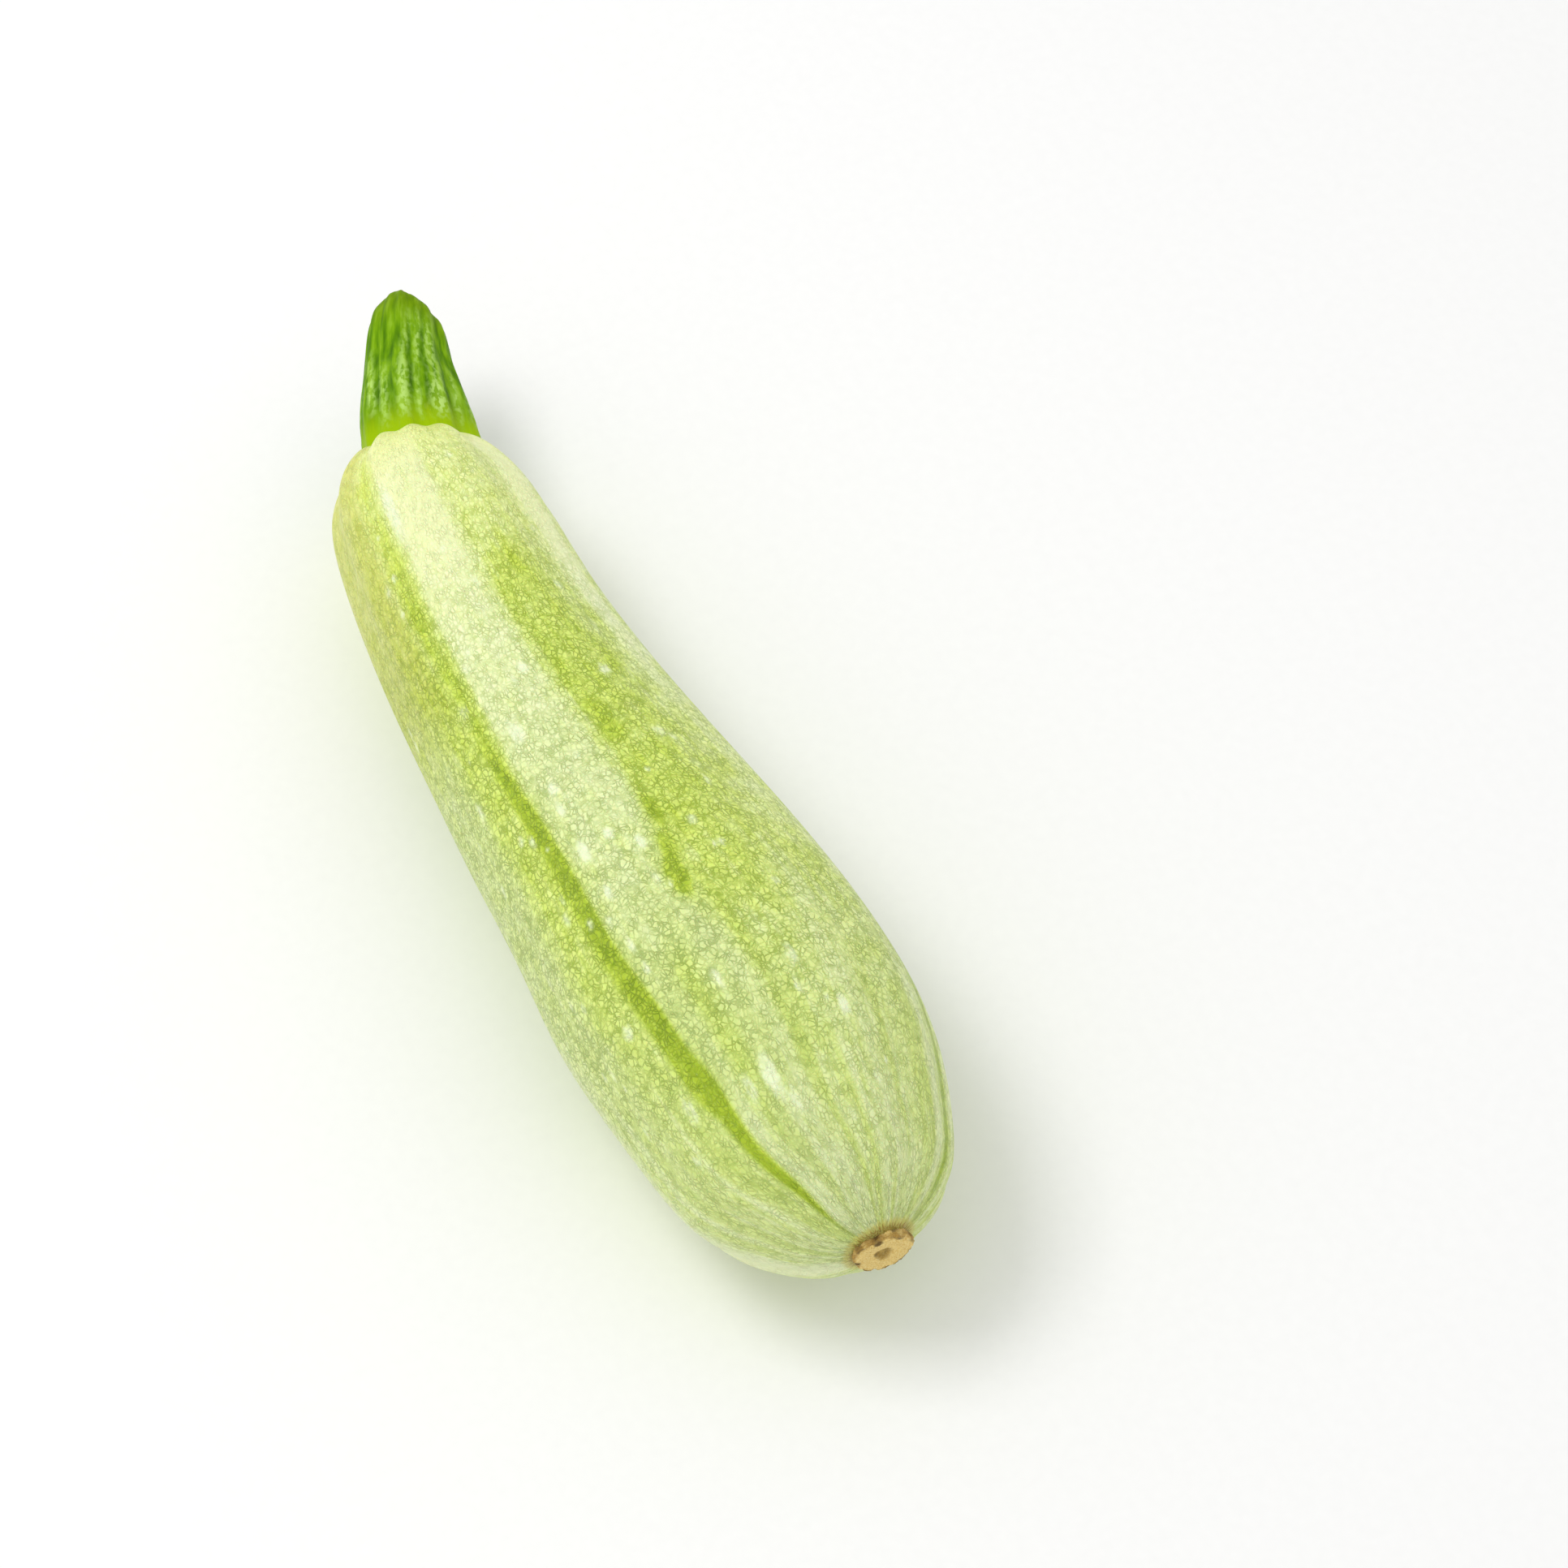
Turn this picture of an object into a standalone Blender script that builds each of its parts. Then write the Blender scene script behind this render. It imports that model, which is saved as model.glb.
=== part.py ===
"""A marrow as picked: the ribbed fruit, its cut stem and the corky scar that the blossom left.

It lies on a surface at z = 0 with the stem towards -X and the blossom end towards +X.
The shapes are measured in millimetres from the middle of the fruit, and drawn in metres.
"""

import math

import bpy
from mathutils import Vector

MM = 0.001

# The whole outline's middle, seen from above, which becomes the model's own zero
OUTLINE_MIDDLE = (-15.6, 0.6)

# Gap kept between the fruit and what grows on it
GROWTH_GAP = 0.3

# Fruit: each control ring's place along it, radius, middle sideways, middle height and rib depth
FRUIT_SIDES = 48
FRUIT_RINGS = (
    (-101.5, 6.6, 0.7, 23.8, 0.2),
    (-101.0, 9.8, 1.2, 23.7, 0.2),
    (-97.4, 13.9, 0.5, 23.5, 0.4),
    (-90.0, 18.5, -1.4, 23.4, 1.0),
    (-79.0, 20.8, -1.4, 23.2, 1.2),
    (-64.0, 21.8, -2.5, 23.0, 0.9),
    (-46.0, 23.0, -2.8, 23.3, 0.7),
    (-26.0, 24.6, -2.2, 24.3, 0.5),
    (-5.0, 26.7, -1.4, 26.3, 0.5),
    (16.0, 28.4, 0.0, 28.4, 0.5),
    (37.0, 30.7, 0.0, 30.3, 0.5),
    (56.0, 30.2, 1.5, 31.3, 0.6),
    (72.0, 28.0, 1.4, 31.1, 0.8),
    (84.0, 24.4, 0.6, 30.6, 1.0),
    (92.5, 18.5, 2.9, 30.4, 1.0),
    (98.0, 11.8, 2.2, 30.2, 0.6),
    (100.5, 5.0, 2.9, 30.1, 0.2),
)
FRUIT_STEM_POLE = (-101.6, 0.7, 23.8)
FRUIT_BLOSSOM_POLE = (101.0, 2.9, 30.0)

# Ribs: the grooves between the ten lobes, in degrees from the +Y side upward
GROOVE_ANGLES = (18, 54, 90, 130, 168, 208, 250, 290, 322, 350)
GROOVE_LEVEL = -1.0
CREST_LEVEL = 0.5

# Scallops of the shoulder round the stem: how many, how deep, and where they start and are whole
SCALLOPS = 12
SCALLOP_DEPTH = 2.0
SCALLOP_START = -86.0
SCALLOP_WHOLE = -95.0

# The neck leans round to the stem: how far it turns, and where the turn starts and is whole
NECK_TURN = math.radians(14.0)
NECK_TURN_START = -70.0
NECK_TURN_END = -100.0

# The flat spot that it lies on is pressed by a block below the surface
FLOOR_BLOCK = (260.0, 100.0, 20.0)

# Stem: its root inside the fruit, its path and its rings, as distance from the root and radius
STEM_ROOT = (-97.5, 1.4, 23.4)
STEM_LIFT = math.radians(8.0)
STEM_TURN_AT_ROOT = math.radians(13.0)
STEM_TURN_AT_TIP = math.radians(26.0)
STEM_LENGTH = 36.0
STEM_SIDES = 60
STEM_RINGS = (
    (-3.0, 8.4),
    (0.0, 10.1),
    (2.0, 10.4),
    (4.0, 10.4),
    (8.0, 10.1),
    (12.0, 9.8),
    (16.0, 9.3),
    (20.0, 8.6),
    (24.0, 7.9),
    (28.0, 7.6),
    (31.0, 7.2),
    (33.0, 6.5),
    (34.2, 5.0),
)
STEM_CUT_DISH = (33.8, 2.6)
STEM_CUT_MIDDLE = 33.4

# Stem ridges: each one's angle, height at the foot and height at the tip, and the fine ribs between them
STEM_RIDGES = (
    (12, 3.3, 1.0),
    (57, 1.4, 0.6),
    (99, 1.6, 0.7),
    (147, 1.2, 0.5),
    (184, 0.5, 0.4),
    (248, 2.0, 0.6),
    (312, 2.4, 0.6),
)
STEM_RIDGE_WIDTH = math.radians(14.0)
STEM_RIDGE_FADE = 0.9
STEM_FINE_RIBS = 15
STEM_FINE_RIB_HEIGHT = 0.22
STEM_RIDGE_RADIUS = 11.4

# Below its root the stem's foot narrows, and its ridges sink into it over this length
STEM_FOOT_DEPTH = 3.0
STEM_FOOT_TAPER = 5.0

# The cut across the stem is slanted: how far the long side reaches past the middle, and its angle
STEM_SLANT = 4.1
STEM_SLANT_ANGLE = math.radians(112.0)

# The cut's edge: the angle and reach of the pointed lip on its long side and of the worn dip beside it
STEM_EDGE_MARKS = ((106, 1.1), (160, -1.1))
STEM_EDGE_MARK_WIDTH = math.radians(26.0)

# Blossom scar: place, way it faces, and the rings of its turned section
SCAR_MIDDLE = (101.2, 2.9, 30.0)
SCAR_TURN = math.radians(-5.0)
SCAR_HEIGHT_SHARE = 0.86
SCAR_SIDES = 32
SCAR_RINGS = (
    (-4.0, 4.6),
    (-0.8, 5.4),
    (0.2, 5.8),
    (0.8, 5.7),
    (1.1, 5.2),
    (1.0, 4.2),
    (0.9, 2.5),
    (0.7, 1.7),
    (0.2, 1.1),
)
SCAR_PIT_DEPTH = 0.1

# The scar's edge wanders: each wave's count round the edge, height and start
SCAR_WAVES = ((3, 0.25, 0.0), (5, 0.12, 1.0))

# Colours, roughness and metallic value of the three finishes
SKIN_COLOUR = (0.52, 0.64, 0.21, 1.0)
SKIN_ROUGHNESS = 0.35
STEM_COLOUR = (0.20, 0.38, 0.04, 1.0)
STEM_ROUGHNESS = 0.5
SCAR_COLOUR = (0.55, 0.36, 0.17, 1.0)
SCAR_ROUGHNESS = 0.8


def clear_scene():
    for item in list(bpy.data.objects):
        bpy.data.objects.remove(item, do_unlink=True)


def make_origin():
    """The empty that carries every piece and sets the outline's middle over the zero."""
    origin = bpy.data.objects.new("marrow", None)
    origin.location = (-OUTLINE_MIDDLE[0] * MM, -OUTLINE_MIDDLE[1] * MM, 0.0)
    bpy.context.scene.collection.objects.link(origin)
    return origin


def make_material(name, colour, roughness):
    material = bpy.data.materials.new(name)
    material.use_nodes = True
    shader = material.node_tree.nodes["Principled BSDF"]
    shader.inputs["Base Color"].default_value = colour
    shader.inputs["Roughness"].default_value = roughness
    shader.inputs["Metallic"].default_value = 0.0
    return material


def make_object(name, points, faces, origin):
    """A smooth-shaded object from points in millimetres, carried by the origin."""
    mesh = bpy.data.meshes.new(name)
    mesh.from_pydata([Vector(point) * MM for point in points], [], faces)
    mesh.shade_smooth()
    made = bpy.data.objects.new(name, mesh)
    made.parent = origin
    bpy.context.scene.collection.objects.link(made)
    return made


def loft_faces(ring_count, sides):
    """Quads between rings, and a fan at each end to the two pole points that follow the rings."""
    first_pole = ring_count * sides
    last_pole = first_pole + 1
    last_ring = (ring_count - 1) * sides
    faces = []
    for ring in range(ring_count - 1):
        for side in range(sides):
            a = ring * sides + side
            b = ring * sides + (side + 1) % sides
            faces.append((a, b, b + sides, a + sides))
    for side in range(sides):
        after = (side + 1) % sides
        faces.append((after, side, first_pole))
        faces.append((last_ring + side, last_ring + after, last_pole))
    return faces


def add_boolean(piece, cutter, name):
    cut = piece.modifiers.new(name, "BOOLEAN")
    cut.operation = "DIFFERENCE"
    cut.solver = "EXACT"
    cut.object = cutter


def add_subdivision(piece):
    smooth = piece.modifiers.new("smooth", "SUBSURF")
    smooth.levels = 1
    smooth.render_levels = 1


def hide_helper(helper):
    helper.hide_render = True
    helper.display_type = "WIRE"


def lobe_height(angle):
    """The share of the rib depth at an angle in degrees: sharp in a groove, round on a lobe's crest."""
    for number, start in enumerate(GROOVE_ANGLES):
        span = (GROOVE_ANGLES[(number + 1) % len(GROOVE_ANGLES)] - start) % 360
        share = ((angle - start) % 360) / span
        if share < 1.0:
            return GROOVE_LEVEL + (CREST_LEVEL - GROOVE_LEVEL) * math.sin(math.pi * share)
    return GROOVE_LEVEL


def scallop_height(angle, along):
    """How far the shoulder's scallops stand out or in, fading away from the stem."""
    share = (SCALLOP_START - along) / (SCALLOP_START - SCALLOP_WHOLE)
    depth = SCALLOP_DEPTH * min(max(share, 0.0), 1.0)
    return depth / 2 * math.cos(SCALLOPS * math.radians(angle))


def neck_turn(along):
    share = (NECK_TURN_START - along) / (NECK_TURN_START - NECK_TURN_END)
    return NECK_TURN * min(max(share, 0.0), 1.0)


def fruit_points():
    points = []
    for along, radius, sideways, height, rib_depth in FRUIT_RINGS:
        turn = neck_turn(along)
        for side in range(FRUIT_SIDES):
            degrees = 360.0 * side / FRUIT_SIDES
            reach = radius + rib_depth * lobe_height(degrees) + scallop_height(degrees, along)
            out = reach * math.cos(math.radians(degrees))
            up = reach * math.sin(math.radians(degrees))
            points.append((along + out * math.sin(turn), sideways + out * math.cos(turn), height + up))
    points.append(FRUIT_STEM_POLE)
    points.append(FRUIT_BLOSSOM_POLE)
    return points


def fruit_cage(name, origin):
    cage = make_object(name, fruit_points(), loft_faces(len(FRUIT_RINGS), FRUIT_SIDES), origin)
    add_subdivision(cage)
    return cage


def make_floor_block(origin):
    """The block whose top is the surface that the fruit lies on."""
    length, width, depth = (side * MM for side in FLOOR_BLOCK)
    bpy.ops.mesh.primitive_cube_add(size=1.0, location=(0.0, 0.0, -depth / 2))
    block = bpy.context.active_object
    block.name = "floor_block"
    block.dimensions = (length, width, depth)
    bpy.ops.object.transform_apply(location=False, rotation=False, scale=True)
    block.parent = origin
    hide_helper(block)
    return block


def make_fruit(origin):
    fruit = fruit_cage("fruit", origin)
    add_boolean(fruit, make_floor_block(origin), "flat spot")
    fruit.data.materials.append(make_material("skin", SKIN_COLOUR, SKIN_ROUGHNESS))
    return fruit


def make_fruit_clearance(origin):
    """The fruit, swollen by the growth gap: it shapes the feet of the stem and of the scar."""
    clearance = fruit_cage("fruit_clearance", origin)
    swell = clearance.modifiers.new("swell", "DISPLACE")
    swell.mid_level = 0.0
    swell.strength = GROWTH_GAP * MM
    hide_helper(clearance)
    return clearance


def stem_place(distance):
    """Point on the stem's middle line and the stem's turn there: a level arc that also rises."""
    bend = (STEM_TURN_AT_TIP - STEM_TURN_AT_ROOT) / STEM_LENGTH
    turn = STEM_TURN_AT_ROOT + bend * distance
    forward = (math.sin(turn) - math.sin(STEM_TURN_AT_ROOT)) / bend
    sideways = (math.cos(STEM_TURN_AT_ROOT) - math.cos(turn)) / bend
    level = math.cos(STEM_LIFT)
    x, y, z = STEM_ROOT
    return Vector((x - forward * level, y + sideways * level, z + distance * math.sin(STEM_LIFT))), turn


def stem_swell(angle, distance):
    """How far the ridges and fine ribs stand out of the stem's plain round section."""
    share = min(max(distance / STEM_LENGTH, 0.0), 1.0)
    foot = min((distance + STEM_FOOT_DEPTH) / STEM_FOOT_TAPER, 1.0)
    flare = (1.0 - share) ** STEM_RIDGE_FADE
    swell = STEM_FINE_RIB_HEIGHT * math.cos(STEM_FINE_RIBS * angle)
    for degrees, at_foot, at_tip in STEM_RIDGES:
        away = (angle - math.radians(degrees) + math.pi) % math.tau - math.pi
        height = at_tip + (at_foot - at_tip) * flare
        swell += height * math.exp(-((away / STEM_RIDGE_WIDTH) ** 2))
    return swell * foot


def stem_point(angle, distance, radius):
    """A point of the stem's surface. Near the tip each ring leans over into the slanted cut."""
    share = distance / STEM_LENGTH
    lean = STEM_SLANT * share**2 * math.cos(angle - STEM_SLANT_ANGLE)
    for degrees, reach in STEM_EDGE_MARKS:
        away = (angle - math.radians(degrees) + math.pi) % math.tau - math.pi
        lean += reach * share**8 * math.exp(-((away / STEM_EDGE_MARK_WIDTH) ** 2))
    middle, turn = stem_place(distance + lean)
    across = Vector((math.sin(turn), math.cos(turn), 0.0))
    level = math.cos(STEM_LIFT)
    forward = Vector((-math.cos(turn) * level, math.sin(turn) * level, math.sin(STEM_LIFT)))
    upward = across.cross(forward)
    return middle + across * (radius * math.cos(angle)) + upward * (radius * math.sin(angle))


def stem_points():
    points = []
    for distance, radius in STEM_RINGS + (STEM_CUT_DISH,):
        for side in range(STEM_SIDES):
            angle = math.tau * side / STEM_SIDES
            swell = stem_swell(angle, distance) * radius / STEM_RIDGE_RADIUS
            points.append(stem_point(angle, distance, radius + swell))
    points.append(stem_place(STEM_RINGS[0][0])[0])
    points.append(stem_place(STEM_CUT_MIDDLE)[0])
    return points


def make_stem(origin, clearance):
    faces = [tuple(reversed(face)) for face in loft_faces(len(STEM_RINGS) + 1, STEM_SIDES)]
    stem = make_object("stem", stem_points(), faces, origin)
    add_boolean(stem, clearance, "foot")
    stem.data.materials.append(make_material("stem_green", STEM_COLOUR, STEM_ROUGHNESS))
    return stem


def scar_point(angle, height, radius):
    """A point of the scar, whose edge wanders in and out a little."""
    wander = sum(size * math.sin(count * angle + start) for count, size, start in SCAR_WAVES)
    reach = radius + wander * radius / SCAR_RINGS[0][1]
    facing = Vector((math.cos(SCAR_TURN), math.sin(SCAR_TURN), 0.0))
    across = Vector((-math.sin(SCAR_TURN), math.cos(SCAR_TURN), 0.0))
    return (
        Vector(SCAR_MIDDLE)
        + facing * height
        + across * (reach * math.cos(angle))
        + Vector((0.0, 0.0, reach * SCAR_HEIGHT_SHARE * math.sin(angle)))
    )


def make_scar(origin, clearance):
    points = []
    for height, radius in SCAR_RINGS:
        for side in range(SCAR_SIDES):
            points.append(scar_point(math.tau * side / SCAR_SIDES, height, radius))
    points.append(scar_point(0.0, SCAR_RINGS[0][0], 0.0))
    points.append(scar_point(0.0, SCAR_PIT_DEPTH, 0.0))
    scar = make_object("blossom_scar", points, loft_faces(len(SCAR_RINGS), SCAR_SIDES), origin)
    add_boolean(scar, clearance, "foot")
    scar.data.materials.append(make_material("cork", SCAR_COLOUR, SCAR_ROUGHNESS))
    return scar


def main():
    clear_scene()
    origin = make_origin()
    make_fruit(origin)
    clearance = make_fruit_clearance(origin)
    make_stem(origin, clearance)
    make_scar(origin, clearance)


main()
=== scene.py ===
"""The looks of a marrow as picked: its pale netted skin, its ribbed green stem and its dry blossom scar.

Shapes are worked out in millimetres from the middle of the fruit, and drawn in the frame in metres.
"""

import math
import random

import bpy
from mathutils import Matrix, Vector, noise

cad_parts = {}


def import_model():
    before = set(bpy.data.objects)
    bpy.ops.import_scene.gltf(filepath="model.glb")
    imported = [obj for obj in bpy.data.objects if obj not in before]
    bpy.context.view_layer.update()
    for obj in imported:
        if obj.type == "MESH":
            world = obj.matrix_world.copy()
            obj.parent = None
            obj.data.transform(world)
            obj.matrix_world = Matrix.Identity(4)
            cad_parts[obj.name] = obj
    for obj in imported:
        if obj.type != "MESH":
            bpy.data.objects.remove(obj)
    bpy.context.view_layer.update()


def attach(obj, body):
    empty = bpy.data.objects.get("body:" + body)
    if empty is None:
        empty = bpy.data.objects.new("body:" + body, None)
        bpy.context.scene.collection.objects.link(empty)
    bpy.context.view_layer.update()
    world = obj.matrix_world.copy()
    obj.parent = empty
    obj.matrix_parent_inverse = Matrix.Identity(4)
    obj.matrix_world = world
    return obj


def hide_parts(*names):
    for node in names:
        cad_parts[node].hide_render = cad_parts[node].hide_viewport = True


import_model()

MM = 0.001

# The middle of the fruit in the frame
FRUIT_MIDDLE = Vector((15.6, -0.6, 0.0))

# Fruit: each ring's place along it, radius, middle sideways, middle height and rib depth
FRUIT_SIDES = 48
FRUIT_RINGS = (
    (-101.5, 6.6, 0.7, 23.8, 0.2),
    (-101.0, 9.8, 1.2, 23.7, 0.2),
    (-97.4, 13.9, 0.5, 23.5, 0.4),
    (-90.0, 18.5, -1.4, 23.4, 1.0),
    (-79.0, 20.8, -1.4, 23.2, 1.2),
    (-64.0, 21.8, -2.5, 23.0, 0.9),
    (-46.0, 23.0, -2.8, 23.3, 0.7),
    (-26.0, 24.6, -2.2, 24.3, 0.5),
    (-5.0, 26.7, -1.4, 26.3, 0.5),
    (16.0, 28.4, 0.0, 28.4, 0.5),
    (37.0, 30.7, 0.0, 30.3, 0.5),
    (56.0, 30.2, 1.5, 31.3, 0.6),
    (72.0, 28.0, 1.4, 31.1, 0.8),
    (84.0, 24.4, 0.6, 30.6, 1.0),
    (92.5, 18.5, 2.9, 30.4, 1.0),
    (98.0, 11.8, 2.2, 30.2, 0.6),
    (100.5, 5.0, 2.9, 30.1, 0.2),
)
FRUIT_POLE_RISE = (-0.1, 0.5)
FRUIT_SMOOTHING = 3
DIVIDED_REACH = 84.0
GROOVE_ANGLES = (18, 54, 90, 130, 168, 208, 250, 290, 322, 350)
GROOVE_LEVEL = -1.0
CREST_LEVEL = 0.5
SCALLOPS = 12
SCALLOP_DEPTH = 2.0
SCALLOP_START = -86.0
SCALLOP_WHOLE = -95.0
NECK_TURN = math.radians(14.0)
NECK_TURN_START = -70.0
NECK_TURN_END = -100.0

# Stem: its root inside the fruit, its path and its rings, as distance from the root and radius
STEM_ROOT = (-97.5, 1.4, 23.4)
STEM_LIFT = math.radians(8.0)
STEM_TURN_AT_ROOT = math.radians(13.0)
STEM_TURN_AT_TIP = math.radians(26.0)
STEM_LENGTH = 36.0
STEM_SIDES = 120
STEM_RINGS = (
    (-3.0, 8.4),
    (0.0, 10.1),
    (2.0, 10.4),
    (4.0, 10.4),
    (8.0, 10.1),
    (12.0, 9.8),
    (16.0, 9.3),
    (20.0, 8.6),
    (24.0, 7.9),
    (28.0, 7.6),
    (31.0, 7.2),
    (33.0, 6.5),
    (34.2, 5.0),
    (33.8, 2.6),
)
STEM_CUT_RING = 12
STEM_CUT_MIDDLE = 33.4
STEM_SMOOTHING = 2
STEM_RIDGES = (
    (12, 3.3, 1.0),
    (57, 1.4, 0.6),
    (99, 1.6, 0.7),
    (147, 1.2, 0.5),
    (184, 0.5, 0.4),
    (248, 2.0, 0.6),
    (312, 2.4, 0.6),
)
STEM_RIDGE_WIDTH = math.radians(14.0)
STEM_RIDGE_FADE = 0.9
STEM_RIDGE_RADIUS = 11.4
STEM_FINE_RIBS = 15
STEM_FINE_RIB_HEIGHT = 0.22
STEM_FOOT_DEPTH = 3.0
STEM_FOOT_TAPER = 5.0
STEM_SLANT = 4.1
STEM_SLANT_ANGLE = math.radians(112.0)
STEM_EDGE_MARKS = ((106, 1.1), (160, -1.1))
STEM_EDGE_MARK_WIDTH = math.radians(26.0)

# The stem's pale crests, partly a painted highlight, and dark furrows: start, end, angle at start and at
# end, half width, strength
STEM_CREST_HIGHLIGHTS = (
    (8, 22, 135, 142, 4.0, 1.0),
    (5, 20, 121, 121, 6.0, 0.6),
    (5, 19, 99, 94, 6.0, 1.0),
    (16, 31, 99, 80, 3.5, 0.6),
    (4, 18, 82, 80, 3.0, 0.7),
    (15, 32, 80, 68, 3.0, 0.8),
    (17, 30, 60, 54, 7.0, 0.8),
    (4, 18, 61, 56, 9.0, 1.0),
    (3, 19, 33, 28, 3.0, 0.7),
    (4, 16, 12, 12, 7.0, 0.5),
    (8, 24, 172, 176, 5.0, 0.6),
    (6, 20, 204, 206, 6.0, 0.8),
    (12, 30, 232, 228, 4.0, 0.7),
    (6, 22, 262, 258, 6.0, 0.9),
    (10, 28, 290, 286, 4.0, 0.6),
    (6, 20, 318, 322, 6.0, 0.8),
    (8, 26, 344, 340, 4.0, 0.6),
)
STEM_FURROWS = (
    (5, 26, 110, 108, 4.5, 0.6),
    (6, 27, 89, 84, 3.0, 0.6),
    (4, 28, 73, 64, 3.5, 1.0),
    (6, 26, 44, 40, 4.5, 0.8),
    (6, 26, 129, 131, 3.5, 0.6),
    (8, 28, 152, 158, 5.0, 0.6),
    (8, 28, 190, 190, 6.0, 0.7),
    (8, 28, 218, 216, 5.0, 0.7),
    (8, 28, 246, 244, 5.0, 0.7),
    (8, 28, 276, 272, 5.0, 0.7),
    (8, 28, 304, 302, 5.0, 0.7),
    (8, 28, 332, 332, 5.0, 0.7),
)
STEM_MARK_FADE = 4.0

# Fine creases along the stem: how close they lie, how short they are, their pattern's start and their depth
STEM_CREASES = ((5.0, 0.10, 0.0, 0.28), (9.0, 0.25, 7.0, 0.12))
STEM_CREASE_LEVEL = 0.15

# Blossom scar: place, way it faces, and the rings of its turned section
SCAR_MIDDLE = (101.2, 2.9, 30.0)
SCAR_TURN = math.radians(-5.0)
SCAR_HEIGHT_SHARE = 0.86
SCAR_SIDES = 64
SCAR_RINGS = (
    (-4.0, 4.6),
    (-0.8, 5.4),
    (0.2, 5.8),
    (0.8, 5.7),
    (1.1, 5.2),
    (1.0, 4.2),
    (0.9, 2.5),
    (0.7, 1.7),
    (0.2, 1.1),
)
SCAR_PIT_DEPTH = 0.1
SCAR_WAVES = ((3, 0.25, 0.0), (5, 0.12, 1.0))
SCAR_TORN_START, SCAR_TORN_FADE = 4.2, 1.4
SCAR_TORN_FOOT = -1.5
SCAR_SMOOTHING = 2

# Dark places of the scar: angle, way out from its middle, half width in degrees, half depth, darkness
SCAR_BURNS = (
    (103, 5.2, 12.0, 0.7, 1.0),
    (140, 5.6, 12.0, 0.5, 0.6),
    (186, 5.4, 10.0, 0.9, 1.0),
    (60, 5.3, 16.0, 0.5, 0.6),
    (20, 5.4, 14.0, 0.6, 0.6),
    (245, 5.7, 24.0, 0.8, 0.8),
    (300, 5.7, 36.0, 0.8, 1.0),
    (185, 1.4, 50.0, 0.5, 0.6),
)

# Markings. Each green band: angle and half width in degrees, depth of green, and where it runs
BANDS = (
    (131, 3.0, 0.40, -125, -80),
    (132, 7.0, 0.12, -98, -40),
    (132, 3.8, 0.24, -68, 0),
    (133, 2.8, 0.48, -20, 80),
    (130, 1.6, 0.20, -10, 80),
    (131, 3.0, 0.32, 40, 78),
    (128, 3.2, 0.52, 60, 106),
    (130, 8.0, 0.16, -10, 100),
    (104, 14.0, 0.12, 30, 84),
    (147, 13.0, 0.15, -50, 92),
    (76, 15.0, 0.15, -64, 50),
    (88, 3.5, 0.12, -60, 30),
    (90, 2.5, 0.16, 40, 104),
    (84, 4.5, 0.08, 74, 104),
    (114, 8.0, 0.28, 38, 96),
    (100, 3.0, -0.20, 84, 104),
    (68, 4.0, -0.20, 76, 104),
    (54, 2.5, 0.08, 55, 104),
    (44, 6.0, -0.12, -40, 30),
    (45, 7.0, 0.06, 20, 80),
    (65, 6.0, -0.10, 24, 80),
    (44, 6.0, -0.16, -104, -30),
    (168, 3.0, 0.16, 10, 104),
    (18, 4.0, 0.60, -104, 104),
    # A paler band low on the near side: painted light thrown up from the floor
    (200, 14.0, -0.45, 30, 116),
    (208, 4.0, 0.60, -104, 70),
    (222, 15.0, 0.40, -104, 50),
    (250, 3.0, 0.40, -104, 104),
    (290, 4.0, 0.60, -104, 104),
    (305, 13.0, 0.40, -90, 60),
    (350, 3.5, 0.55, -104, 104),
)
BAND_FADE = 14.0
SKIN_GREEN_FLOOR = 0.42
NECK_PALENESS = 0.14
PATCH_REACH = 3.0

# Where the neck, the shoulder and the streaked blossom end begin, and how softly
NECK_START, NECK_FADE = -38.0, 40.0
SHOULDER_START, SHOULDER_FADE = -82.0, 16.0
RAYS_START, RAYS_FADE = 42.0, 44.0

# Brown skin round the scar: where it ends, out from the scar's middle, and how softly
COLLAR_END, COLLAR_FADE = 9.0, 3.4

# Dark green patches: along, angle, half length in millimetres, half width in degrees, depth
PATCHES = (
    (16, 92, 5, 3.0, 0.45),
    (25, 95, 5, 3.5, 0.45),
    (33, 98, 5, 4.0, 0.75),
    (-53, 76, 4, 4.0, 0.15),
    (-10, 85, 6, 4.0, 0.25),
    (-24, 63, 6, 3.0, 0.25),
    (-84, 104, 6, 4.0, 0.15),
    (8, 50, 4, 8.0, 0.15),
    (-66, 131, 9, 4.0, 0.20),
)
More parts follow.
